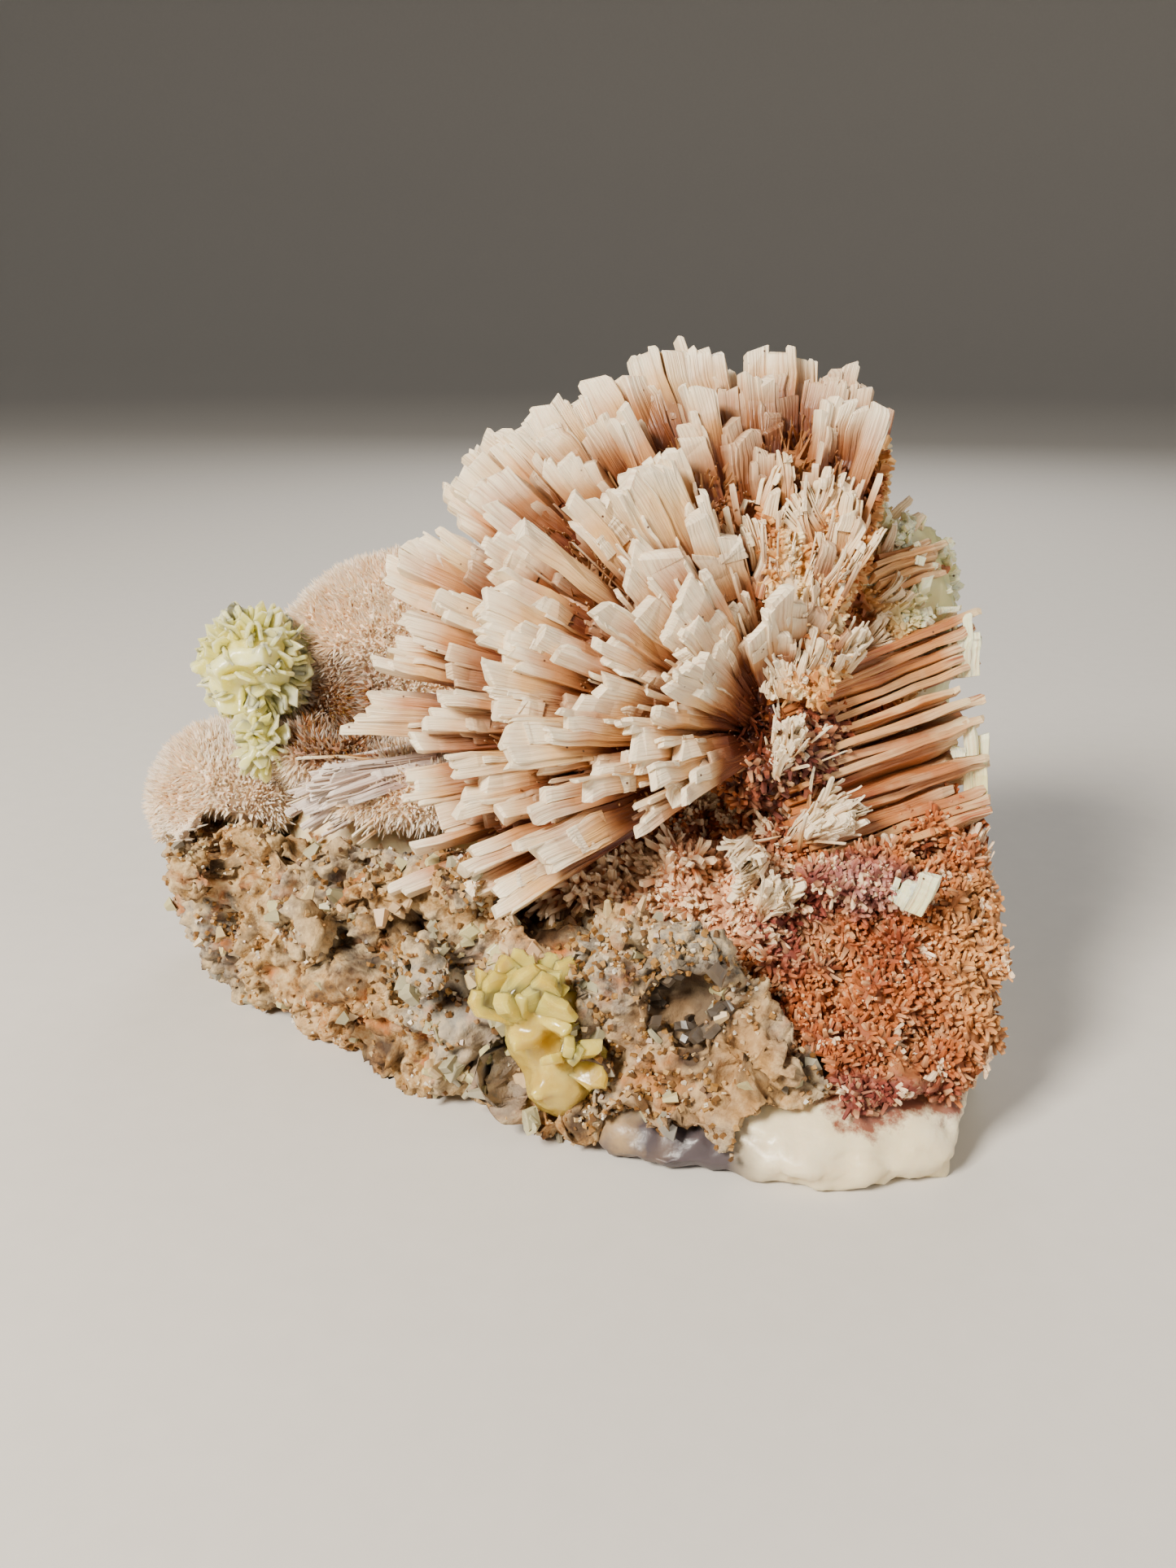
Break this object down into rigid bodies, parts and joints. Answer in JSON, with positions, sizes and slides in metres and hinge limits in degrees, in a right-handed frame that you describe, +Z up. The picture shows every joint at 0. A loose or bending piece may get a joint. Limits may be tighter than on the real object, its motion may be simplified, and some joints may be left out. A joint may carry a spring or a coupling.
{
  "type": "mordenite with stilbite mineral specimen",
  "caption": "Zeolite hand specimen: a radiating fan of flat cream mordenite laths over a rusty needle bed, on white zeolite and brown basalt, with pale green stilbite.",
  "frame": {"origin": "a point of the flat underside that the specimen rests on", "axes": "+Z up; +X to the right of the face that shows the fan, along the longest extent; +Y away from that face, towards the back"},
  "size_m": [0.1166, 0.0823, 0.0927],
  "materials": {
    "massive_zeolite": "waxy white zeolite, broken faces",
    "altered_basalt": "rough, crumbly, pitted brown rock",
    "rusty_needles": "felt of fine iron-stained needles",
    "peach_velvet": "velvet of fine cream and peach needles",
    "mordenite_laths": "silky laths with a pearly face",
    "green_stilbite": "glassy, translucent pale green",
    "yellow_stilbite": "glassy, translucent honey yellow"
  },
  "bodies": {
    "root": {"massive_zeolite": "massive_zeolite", "altered_basalt": "altered_basalt", "needle_bed": "rusty_needles", "lower_lobe": "peach_velvet", "upper_lobe": "peach_velvet", "mordenite_fan": "mordenite_laths", "green_stilbite": "green_stilbite", "yellow_stilbite": "yellow_stilbite"}
  },
  "joints": []
}
